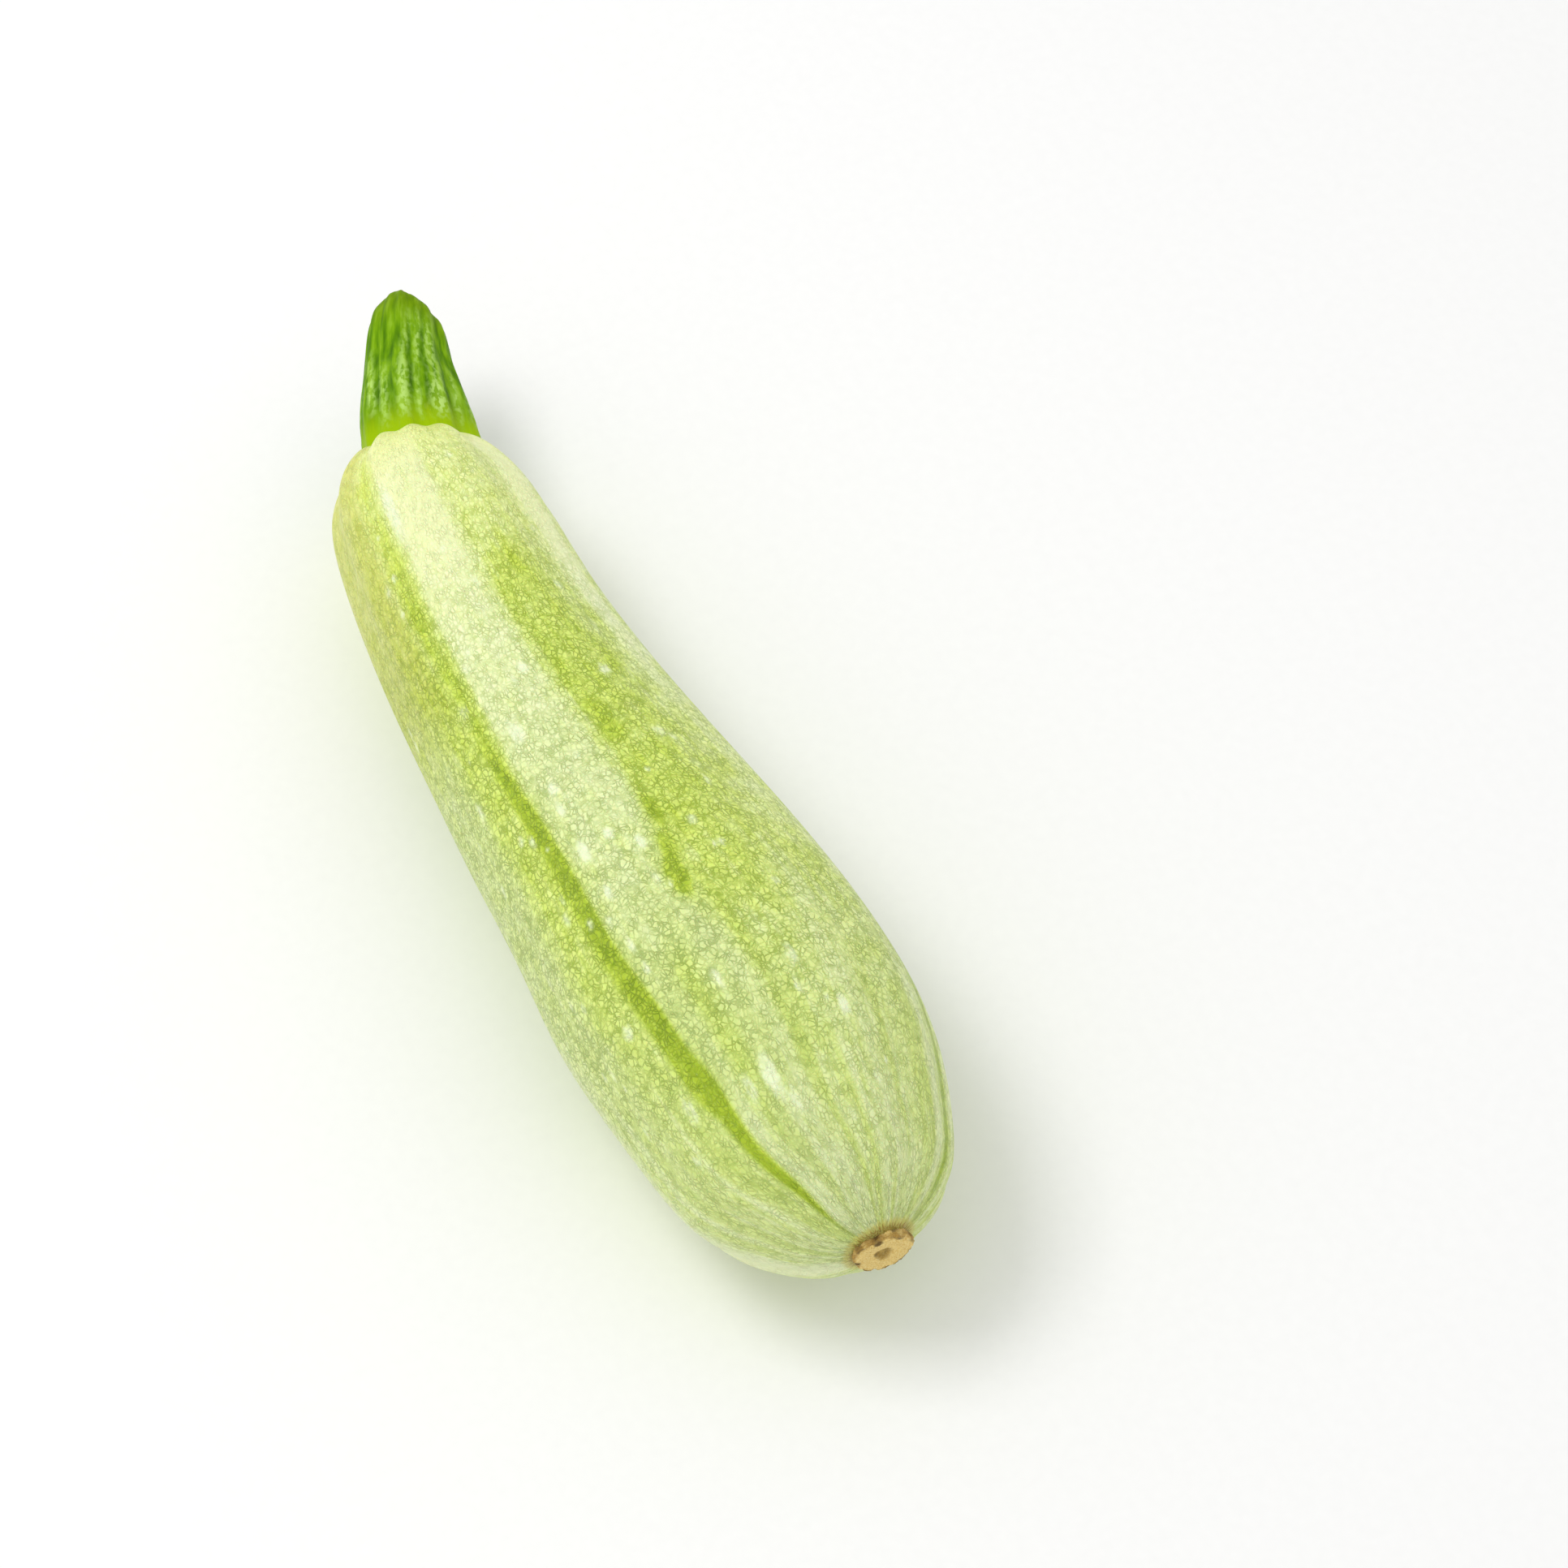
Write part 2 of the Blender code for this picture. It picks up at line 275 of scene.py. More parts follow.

# White spots that stand out, three of them near the blossom end a painted highlight: along, angle, half
# length and half width in millimetres, whiteness
SPOTS_AND_HIGHLIGHT = (
    (-77, 121, 7.4, 1.0, 0.90),
    (-52, 98, 3.3, 0.9, 0.45),
    (-38, 118, 1.5, 0.8, 0.55),
    (-28, 101, 1.6, 0.9, 0.90),
    (-18, 119, 1.5, 0.8, 0.60),
    (-15, 118, 2.6, 1.2, 0.95),
    (-3, 103, 1.2, 0.7, 0.60),
    (1, 118, 1.8, 1.0, 0.90),
    (6, 120, 2.2, 0.9, 0.70),
    (17, 121, 2.9, 1.1, 0.90),
    (28, 121, 1.9, 0.8, 0.85),
    (40, 124, 1.8, 0.7, 0.75),
    (46, 124, 1.7, 0.7, 0.70),
    (17, 110, 1.5, 1.3, 0.85),
    (22, 102, 2.2, 0.9, 0.85),
    (56, 106, 2.8, 1.0, 0.60),
    # Painted highlight: the softbox's reflection near the blossom end, drawn as three large spots
    (76, 106, 4.6, 1.6, 0.80),
    (81, 102, 3.1, 1.1, 0.70),
    (76, 115, 3.7, 1.6, 0.50),
    (-46, 62, 1.7, 0.9, 0.55),
    (-21, 71, 2.1, 1.2, 0.65),
    (-2, 69, 1.8, 1.1, 0.65),
    (0, 65, 1.4, 0.8, 0.55),
    (7, 84, 1.2, 0.7, 0.60),
    (13, 66, 2.4, 0.8, 0.50),
    (22, 82, 1.5, 1.1, 0.60),
    (29, 78, 1.5, 0.9, 0.60),
    (41, 69, 1.6, 1.0, 0.50),
    (57, 80, 3.3, 1.2, 0.50),
    (63, 83, 2.0, 0.9, 0.55),
    (69, 70, 2.4, 1.2, 0.80),
    (82, 66, 1.8, 1.2, 0.45),
    (87, 83, 2.2, 1.0, 0.45),
    (-63, 141, 1.8, 0.9, 0.45),
    (-28, 134, 2.4, 1.0, 0.45),
    (-17, 168, 2.0, 0.6, 0.50),
    (-8, 151, 2.9, 1.1, 0.50),
    (-4, 164, 1.7, 0.6, 0.55),
    (5, 141, 1.3, 0.8, 0.60),
    (7, 137, 1.8, 0.7, 0.55),
    (22, 138, 1.7, 0.6, 0.50),
    (26, 140, 1.8, 0.8, 0.55),
    (31, 164, 1.8, 0.7, 0.50),
    (39, 158, 1.6, 0.7, 0.50),
    (42, 153, 1.4, 0.8, 0.50),
    (53, 143, 1.7, 1.1, 0.65),
    (55, 161, 1.7, 0.8, 0.55),
    (67, 166, 1.8, 0.7, 0.50),
    (72, 140, 3.5, 1.3, 0.50),
    (79, 151, 2.2, 1.1, 0.45),
)
SPOT_DRAWS = 130
SPOT_SEED = 5
SPOT_WIDTH_SHARE = 0.5
SPOT_REACH = 2.0
FAINT_SPOT_ENDS = (-92, 90)

# The fruit's usual middle height, and the least and most radius that a spot's width is reckoned with
MIDDLE_HEIGHT = 27.0
SPOT_RADII = (8.0, 29.0)

# A vertex nearer than this to a tube's middle line is its pole
POLE_REACH = 0.01

# Reference radius of the skin's pattern, which narrows with the fruit towards both ends
PATTERN_RADIUS = 27.0

# Camera, in degrees and millimetres: it looks down over the blossom end
CAMERA_ELEVATION = math.radians(54.5)
CAMERA_SWING = math.radians(25.6)
CAMERA_DISTANCE = 1000.0
CAMERA_AIM_HEIGHT = 30.0
CAMERA_RIGHT = 29.33
CAMERA_UP = 7.50
SENSOR_WIDTH = 36.0
CAMERA_LENS = 125.6

# Light: the room's own, and the softbox's place, size in metres and power in watts
ROOM_LIGHT = 0.80
KEY_PLACE = (-0.25, -0.45, 1.05)
KEY_SIZE = (0.55, 0.40)
KEY_POWER = 4.5


def colour(red, green, blue):
    """A colour that is given as a screen shows it, from 0 to 255, as light."""
    shares = (red / 255, green / 255, blue / 255)
    return tuple(s / 12.92 if s <= 0.04045 else ((s + 0.055) / 1.055) ** 2.4 for s in shares) + (1.0,)


def clamp(value, low=0.0, high=1.0):
    return min(max(value, low), high)


def ease(value):
    """0 below 0 and 1 above 1, with a soft start and end between them."""
    share = clamp(value)
    return share * share * (3.0 - 2.0 * share)


def after(value, start, fade):
    """0 up to the start, and 1 from a fade's length past it."""
    return ease((value - start) / fade)


def before(value, end, fade):
    """1 up to a fade's length short of the end, and 0 from the end."""
    return ease((end - value) / fade)


def angle_between(degrees, other):
    return (degrees - other + 180.0) % 360.0 - 180.0


def stripe(degrees, middle, half_width):
    """1 on the middle of a stripe that runs along the fruit, falling softly to 0 beside it."""
    away = angle_between(degrees, middle) / half_width
    return math.exp(-away * away)


# Modelling


def grow_tube(name, sides, rings):
    """A closed tube along +X, grown by extruding a circle from ring to ring: (along, radius) each."""
    bpy.ops.object.select_all(action="DESELECT")
    along, radius = rings[0]
    bpy.ops.mesh.primitive_circle_add(
        vertices=sides,
        radius=radius * MM,
        fill_type="NGON",
        location=(along * MM, 0.0, 0.0),
        rotation=(0.0, math.radians(90.0), 0.0),
    )
    piece = bpy.context.active_object
    piece.name = name
    piece.data.name = name
    bpy.ops.object.transform_apply(location=True, rotation=True, scale=True)
    bpy.ops.object.mode_set(mode="EDIT")
    bpy.ops.mesh.select_all(action="SELECT")
    for (start, before), (end, after) in zip(rings, rings[1:]):
        step = ((end - start) * MM, 0.0, 0.0)
        bpy.ops.mesh.extrude_region_move(TRANSFORM_OT_translate={"value": step})
        share = after / before
        bpy.ops.transform.resize(value=(share, share, share), center_override=(end * MM, 0.0, 0.0))
    bpy.ops.mesh.select_all(action="DESELECT")
    bpy.ops.object.mode_set(mode="OBJECT")
    for face in piece.data.polygons:
        face.select = len(face.vertices) > 4
    bpy.ops.object.mode_set(mode="EDIT")
    bpy.ops.mesh.poke()
    bpy.ops.object.mode_set(mode="OBJECT")
    return piece


def tube_places(piece, rings):
    """Each vertex's ring number and angle, read from its place on the straight tube; poles have no angle."""
    places = []
    last = len(rings) - 1
    for vertex in piece.data.vertices:
        along = vertex.co.x / MM
        reach = math.hypot(vertex.co.y, vertex.co.z) / MM
        if reach < POLE_REACH:
            ring = 0 if abs(along - rings[0][0]) < abs(along - rings[last][0]) else last
            places.append((ring, None))
            continue
        gaps = [abs(place - along) + abs(radius - reach) for place, radius in rings]
        places.append((gaps.index(min(gaps)), math.atan2(vertex.co.z, vertex.co.y)))
    return places


def face_outward(piece):
    bpy.ops.object.mode_set(mode="EDIT")
    bpy.ops.mesh.select_all(action="SELECT")
    bpy.ops.mesh.normals_make_consistent(inside=False)
    bpy.ops.object.mode_set(mode="OBJECT")


def smooth(piece, levels):
    """Turns a finished cage's faces outward, subdivides it and keeps the result."""
    face_outward(piece)
    modifier = piece.modifiers.new("smooth", "SUBSURF")
    modifier.levels = levels
    modifier.render_levels = levels
    bpy.ops.object.modifier_apply(modifier=modifier.name)
    bpy.ops.object.shade_smooth()


def put_value(piece, name, values):
    layer = piece.data.attributes.new(name, "FLOAT", "POINT")
    layer.data.foreach_set("value", values)


def put_vector(piece, name, vectors):
    layer = piece.data.attributes.new(name, "FLOAT_VECTOR", "POINT")
    layer.data.foreach_set("vector", [number for vector in vectors for number in vector])


def vectors_of(piece, name):
    return [Vector(item.vector) for item in piece.data.attributes[name].data]


def carry(piece, node, material):
    """Gives a finished piece its finish, and lets it stand for its node on the one body."""
    piece.data.materials.clear()
    piece.data.materials.append(material)
    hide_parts(node)
    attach(piece, "root")


# Fruit


def lobe_height(degrees):
    """The share of the rib depth at an angle: sharp in a groove, round on a lobe's crest."""
    for number, start in enumerate(GROOVE_ANGLES):
        span = (GROOVE_ANGLES[(number + 1) % len(GROOVE_ANGLES)] - start) % 360
        share = ((degrees - start) % 360) / span
        if share < 1.0:
            return GROOVE_LEVEL + (CREST_LEVEL - GROOVE_LEVEL) * math.sin(math.pi * share)
    return GROOVE_LEVEL


def scallop_height(angle, along):
    """How far the shoulder's scallops stand out or in, fading away from the stem."""
    share = (SCALLOP_START - along) / (SCALLOP_START - SCALLOP_WHOLE)
    return SCALLOP_DEPTH * clamp(share) / 2 * math.cos(SCALLOPS * angle)


def neck_turn(along):
    return NECK_TURN * clamp((NECK_TURN_START - along) / (NECK_TURN_START - NECK_TURN_END))


def fruit_lengths():
    """The way along the skin from the stem end to each ring, with the two poles first and last."""
    lengths = [FRUIT_RINGS[0][1]]
    for (start, before, *_), (end, after, *_) in zip(FRUIT_RINGS, FRUIT_RINGS[1:]):
        lengths.append(lengths[-1] + math.hypot(end - start, after - before))
    return [0.0] + lengths + [lengths[-1] + FRUIT_RINGS[-1][1]]


def shape_fruit(piece):
    """Sets each vertex of the straight tube on the ribbed, bent fruit, and notes its place on the skin."""
    places = tube_places(piece, [ring[:2] for ring in FRUIT_RINGS])
    lengths = fruit_lengths()
    skin_places = []
    for vertex, (ring, angle) in zip(piece.data.vertices, places):
        along, radius, sideways, height, rib_depth = FRUIT_RINGS[ring]
        if angle is None:
            first = ring == 0
            along += FRUIT_POLE_RISE[0] if first else FRUIT_POLE_RISE[1]
            vertex.co = (Vector((along, sideways, height)) + FRUIT_MIDDLE) * MM
            skin_places.append((0.0, 0.0, lengths[0] if first else lengths[-1]))
            continue
        degrees = math.degrees(angle) % 360.0
        reach = radius + rib_depth * lobe_height(degrees) + scallop_height(angle, along)
        turn = neck_turn(along)
        out = reach * math.cos(angle)
        up = reach * math.sin(angle)
        place = Vector((along + out * math.sin(turn), sideways + out * math.cos(turn), height + up))
        vertex.co = (place + FRUIT_MIDDLE) * MM
        skin_places.append(
            (PATTERN_RADIUS * math.cos(angle), PATTERN_RADIUS * math.sin(angle), lengths[ring + 1])
        )
    put_vector(piece, "skin_place", skin_places)


def divide_lengthwise(piece):
    """Cuts the long sides of the body's faces in half, so that markings are as fine along as around."""
    bpy.ops.object.mode_set(mode="EDIT")
    bpy.ops.mesh.select_mode(type="EDGE")
    bpy.ops.mesh.select_all(action="DESELECT")
    bpy.ops.object.mode_set(mode="OBJECT")
    points = piece.data.vertices
    for edge in piece.data.edges:
        start, end = (points[number].co / MM - FRUIT_MIDDLE for number in edge.vertices)
        step = end - start
        inside = max(abs(start.x), abs(end.x)) < DIVIDED_REACH
        edge.select = inside and abs(step.x) > 0.8 * step.length
    bpy.ops.object.mode_set(mode="EDIT")
    bpy.ops.mesh.subdivide(number_cuts=1)
    bpy.ops.mesh.select_mode(type="VERT")
    bpy.ops.object.mode_set(mode="OBJECT")


def press_flat(piece):
    """Flattens the underside onto the surface that the fruit lies on."""
    for vertex in piece.data.vertices:
        vertex.select = vertex.co.z < 0.0
    for group in (piece.data.edges, piece.data.polygons):
        for item in group:
            item.select = all(piece.data.vertices[number].select for number in item.vertices)
    bpy.ops.object.mode_set(mode="EDIT")
    bpy.ops.transform.resize(value=(1.0, 1.0, 0.0), center_override=(0.0, 0.0, 0.0))
    bpy.ops.object.mode_set(mode="OBJECT")


def band_green(along, degrees):
    """How green the skin's bands and patches make a place, from 0 to about 1."""
    amount = SKIN_GREEN_FLOOR - NECK_PALENESS * before(along, -45.0, 30.0)
    for middle, half_width, depth, start, end in BANDS:
        inside = after(along, start, BAND_FADE) * before(along, end, BAND_FADE)
        if inside > 0.0:
            amount += depth * inside * stripe(degrees, middle, half_width)
    for place, middle, half_length, half_width, depth in PATCHES:
        far = math.hypot((along - place) / half_length, angle_between(degrees, middle) / half_width)
        if far < PATCH_REACH:
            amount += depth * math.exp(-far * far)
    return clamp(amount)


def light_band(along, degrees):
    """1 on the light band along the top. Its far edge is crisp, and its near edge is soft."""
    crisp_edge = 127.0 + 4.0 * after(along, -40.0, 50.0)
    softness = 9.0 - 4.0 * after(along, -70.0, 40.0)
    return after(degrees, 88.0, 12.0) * before(degrees, crisp_edge, softness)


def pale_and_bounce_light(along, degrees):
    """How pale the skin is: on its light band, at the neck's side and underneath, and with painted light
    thrown up from the floor low on its near side.
    """
    band = light_band(along, degrees) * (0.15 + 0.85 * before(along, 75.0, 150.0))
    edge = stripe(degrees, 44, 7.0) * before(along, 5.0, 55.0)
    under = 0.6 * stripe(degrees, 265, 22.0)
    # Painted light thrown up from the pale floor, low on the near side
    rim = stripe(degrees, 206, 17.0) * after(along, 15.0, 50.0)
    return clamp(max(band, edge, under, rim))


def grey_and_shade(along, degrees):
    """How much greyer the skin is on the light band past the neck and at the blossom end, and how much
    painted shade greys its side.
    """
    band = 0.6 * light_band(along, degrees) * after(along, -55.0, 60.0)
    band *= 1.0 + 0.4 * after(along, 15.0, 40.0)
    # Painted shade greys the flank that lies past the light band
    side = 0.75 * after(degrees, 143.0, 14.0) * before(degrees, 220.0, 20.0) * after(along, -40.0, 30.0)
    blossom = 0.6 * after(along, 20.0, 60.0) * (1.0 - 0.7 * after(degrees, 175.0, 20.0))
    return max(band, side, blossom)


def neck_shade(along, degrees):
    """How much painted shade, a brown tint, darkens the side of the neck that leans away from the light."""
    side = after(degrees, 132.0, 12.0) * before(degrees, 225.0, 20.0)
    return 0.9 * side * before(along, -14.0, 35.0)


def spots_and_highlight():
    """The spots that stand out with the painted highlight among them, and fainter ones drawn at random:
    small all over, larger below.
    """
    draw = random.Random(SPOT_SEED)
    spots = list(SPOTS_AND_HIGHLIGHT)
    for number in range(SPOT_DRAWS):
        below = number % 3 == 0
        degrees = draw.uniform(175, 405) if below else draw.uniform(0, 360)
        half_length = draw.uniform(1.4, 2.4) if below else draw.uniform(0.8, 1.6)
        half_width = half_length * SPOT_WIDTH_SHARE
        whiteness = draw.uniform(0.35, 0.7)
        along = draw.uniform(*FAINT_SPOT_ENDS)
        spots.append((along, degrees, half_length, half_width, whiteness))
    return spots


def spot_and_highlight_whiteness(along, degrees, radius, spots):
    """How white the nearest spot, the painted highlight's among them, makes a place: its whiteness in the
    middle, and 0 away from any.
    """
    best = 0.0
    for place, middle, half_length, half_width, whiteness in spots:
        lengthwise = (along - place) / half_length
        around = math.radians(angle_between(degrees, middle)) * radius / half_width
        far = lengthwise * lengthwise + around * around
        if far < SPOT_REACH * SPOT_REACH:
            best = max(best, whiteness * math.exp(-far))
    return best


def mark_skin(piece):
    """Writes the skin's markings as values on its vertices, each by its own rule."""
    spots = spots_and_highlight()
    scar = Vector(SCAR_MIDDLE) + FRUIT_MIDDLE
    least, most = SPOT_RADII
    marks = {}
    for vertex, place in zip(piece.data.vertices, vectors_of(piece, "skin_place")):
        point = vertex.co / MM
        along = point.x - FRUIT_MIDDLE.x
        degrees = math.degrees(math.atan2(place.y, place.x)) % 360.0
        radius = clamp(max(abs(point.z - MIDDLE_HEIGHT), abs(point.y)), least, most)
        depth = band_green(along, degrees)
        near = [spot for spot in spots if abs(spot[0] - along) < SPOT_REACH * spot[2]]
        values = {
            "skin_green": depth,
            "skin_pale_and_bounce_light": pale_and_bounce_light(along, degrees),
            "skin_grey_and_shade": grey_and_shade(along, degrees) * (1.0 - after(depth, 0.62, 0.3)),
            "skin_neck_shade": neck_shade(along, degrees),
            "skin_rays": after(along, RAYS_START, RAYS_FADE),
            "skin_neck": before(along, NECK_START, NECK_FADE),
            "skin_shoulder": before(along, SHOULDER_START, SHOULDER_FADE),
            "skin_spot_and_highlight": spot_and_highlight_whiteness(along, degrees, radius, near),
            "skin_collar": before((point - scar).length, COLLAR_END, COLLAR_FADE),
        }
        for name, value in values.items():
            marks.setdefault(name, []).append(value)
    for name, values in marks.items():
        put_value(piece, name, values)


def make_fruit():
    piece = grow_tube("marrow_skin", FRUIT_SIDES, [ring[:2] for ring in FRUIT_RINGS])
    shape_fruit(piece)
    smooth(piece, FRUIT_SMOOTHING)
    divide_lengthwise(piece)
    press_flat(piece)
    mark_skin(piece)
    carry(piece, "fruit", skin_material())
    return piece


# Stem


def stem_place(distance):
    """Point on the stem's middle line and the stem's turn there: a level arc that also rises."""
    bend = (STEM_TURN_AT_TIP - STEM_TURN_AT_ROOT) / STEM_LENGTH
    turn = STEM_TURN_AT_ROOT + bend * distance
    forward = (math.sin(turn) - math.sin(STEM_TURN_AT_ROOT)) / bend
    sideways = (math.cos(STEM_TURN_AT_ROOT) - math.cos(turn)) / bend
    level = math.cos(STEM_LIFT)
    x, y, z = STEM_ROOT
    return Vector((x - forward * level, y + sideways * level, z + distance * math.sin(STEM_LIFT))), turn


def nearness(angle, degrees, width):
    """1 at that many degrees round the stem, falling softly to 0 beside it."""
    away = (angle - math.radians(degrees) + math.pi) % math.tau - math.pi
    return math.exp(-((away / width) ** 2))


def stem_swell(angle, distance):
    """How far the ridges and fine ribs stand out of the stem's plain round section."""
    share = clamp(distance / STEM_LENGTH)
    foot = min((distance + STEM_FOOT_DEPTH) / STEM_FOOT_TAPER, 1.0)
    flare = (1.0 - share) ** STEM_RIDGE_FADE
    swell = STEM_FINE_RIB_HEIGHT * math.cos(STEM_FINE_RIBS * angle)
    for degrees, at_foot, at_tip in STEM_RIDGES:
        height = at_tip + (at_foot - at_tip) * flare
        swell += height * nearness(angle, degrees, STEM_RIDGE_WIDTH)
    return swell * foot


def stem_point(angle, distance, radius):
    """A point of the stem's surface. Near the tip each ring leans over into the slanted cut."""
    share = distance / STEM_LENGTH
    lean = STEM_SLANT * share**2 * math.cos(angle - STEM_SLANT_ANGLE)
    for degrees, reach in STEM_EDGE_MARKS:
        lean += reach * share**8 * nearness(angle, degrees, STEM_EDGE_MARK_WIDTH)
    middle, turn = stem_place(distance + lean)
    across = Vector((math.sin(turn), math.cos(turn), 0.0))
    level = math.cos(STEM_LIFT)
    forward = Vector((-math.cos(turn) * level, math.sin(turn) * level, math.sin(STEM_LIFT)))
    upward = across.cross(forward)
    return middle + across * (radius * math.cos(angle)) + upward * (radius * math.sin(angle))


def stem_mark(rows, angle, distance):
    """How strongly the crests, or the furrows, mark a place of the stem, from 0 to 1."""
    strongest = 0.0
    for start, end, angle_at_start, angle_at_end, half_width, strength in rows:
        share = (distance - start) / (end - start)
        degrees = angle_at_start + (angle_at_end - angle_at_start) * share
        inside = after(distance, start, STEM_MARK_FADE) * before(distance, end, STEM_MARK_FADE)
        strongest = max(strongest, strength * inside * nearness(angle, degrees, math.radians(half_width)))
    return strongest


def shape_stem(piece):
    """Sets each vertex of the straight tube on the ridged, bent stem, and notes its place on it."""
    places = tube_places(piece, STEM_RINGS)
    stem_places = []
    marks = []
    cut = []
    for vertex, (ring, angle) in zip(piece.data.vertices, places):
        distance, radius = STEM_RINGS[ring]
        if angle is None:
            distance = STEM_CUT_MIDDLE if ring >= STEM_CUT_RING else distance
            point = stem_place(distance)[0]
            stem_places.append((0.0, 0.0, distance))
            marks.append((0.0, 0.0))
        else:
            swell = stem_swell(angle, distance) * radius / STEM_RIDGE_RADIUS
            point = stem_point(angle, distance, radius + swell)
            stem_places.append((radius * math.cos(angle), radius * math.sin(angle), distance))
            marks.append((stem_mark(STEM_CREST_HIGHLIGHTS, angle, distance), stem_mark(STEM_FURROWS, angle, distance)))
        cut.append(1.0 if ring >= STEM_CUT_RING else 0.0)
        vertex.co = (point + FRUIT_MIDDLE) * MM
    put_vector(piece, "stem_place", stem_places)
    put_value(piece, "stem_crest_highlight", [crest for crest, furrow in marks])
    put_value(piece, "stem_furrow", [furrow for crest, furrow in marks])
    put_value(piece, "stem_cut", cut)


def press_in(piece, depths):
    """Moves each vertex in along its normal, by its depth in millimetres."""
    normals = [vertex.normal.copy() for vertex in piece.data.vertices]
    for vertex, normal, depth in zip(piece.data.vertices, normals, depths):
        vertex.co = vertex.co - normal * depth * MM


def wrinkle_depth(place):
    """Fine creases that run along the stem, pressed into its smooth surface."""
    angle = math.atan2(place.y, place.x)
    total = STEM_CREASE_LEVEL
    for closeness, shortness, start, depth in STEM_CREASES:
        across = Vector((closeness * math.cos(angle), closeness * math.sin(angle), 0.0))
        total += depth * noise.noise(across + Vector((0.0, 0.0, place.z * shortness + start)))
    return total


def make_stem():
    piece = grow_tube("marrow_stem", STEM_SIDES, STEM_RINGS)
    shape_stem(piece)
    smooth(piece, STEM_SMOOTHING)
    press_in(piece, [wrinkle_depth(place) for place in vectors_of(piece, "stem_place")])
    carry(piece, "stem", stem_material())
    return piece


# Blossom scar


def scar_point(angle, height, radius):
    """A point of the scar, whose edge wanders in and out a little."""
    wander = sum(size * math.sin(count * angle + start) for count, size, start in SCAR_WAVES)
    reach = radius + wander * radius / SCAR_RINGS[0][1]
    facing = Vector((math.cos(SCAR_TURN), math.sin(SCAR_TURN), 0.0))
    across = Vector((-math.sin(SCAR_TURN), math.cos(SCAR_TURN), 0.0))
    return (
        Vector(SCAR_MIDDLE)
        + facing * height
        + across * (reach * math.cos(angle))
        + Vector((0.0, 0.0, reach * SCAR_HEIGHT_SHARE * math.sin(angle)))
    )


def shape_scar(piece):
    """Sets each vertex of the straight tube on the oval scar, and notes its place on the face."""
    scar_places = []
    for vertex, (ring, angle) in zip(piece.data.vertices, tube_places(piece, SCAR_RINGS)):
        height, radius = SCAR_RINGS[ring]
        if angle is None:
            height = height if ring == 0 else SCAR_PIT_DEPTH
            radius = 0.0
        point = scar_point(angle or 0.0, height, radius)
        scar_places.append((radius * math.cos(angle or 0.0), radius * math.sin(angle or 0.0), height))
        vertex.co = (point + FRUIT_MIDDLE) * MM
    put_vector(piece, "scar_place", scar_places)


def burn(place):
    """How dark the dry rim and the pit's near side make a place of the scar, from 0 to 1."""
    degrees = math.degrees(math.atan2(place.y, place.x))
    out = math.hypot(place.x, place.y)
    darkest = 0.0
    for middle, reach, half_width, half_depth, darkness in SCAR_BURNS:
        far = (angle_between(degrees, middle) / half_width) ** 2 + ((out - reach) / half_depth) ** 2
        darkest = max(darkest, darkness * math.exp(-far))
    return darkest


def cork_depth(place):
    """The dry cork's torn rim and pitted face."""
    reach = math.hypot(place.x, place.y)
    torn = after(reach, SCAR_TORN_START, SCAR_TORN_FADE) * after(place.z, SCAR_TORN_FOOT, -SCAR_TORN_FOOT)
    coarse = noise.noise(place * 0.9)
    fine = noise.noise(place * 2.6 + Vector((3.0, 1.0, 5.0)))
    return 0.22 * abs(fine) + 0.75 * torn * max(coarse + 0.15, 0.0)


def make_scar():
    piece = grow_tube("marrow_scar", SCAR_SIDES, SCAR_RINGS)
    shape_scar(piece)
    smooth(piece, SCAR_SMOOTHING)
    put_value(piece, "scar_burn", [burn(place) for place in vectors_of(piece, "scar_place")])
    press_in(piece, [cork_depth(place) for place in vectors_of(piece, "scar_place")])
    carry(piece, "blossom_scar", scar_material())
    return piece


# Materials


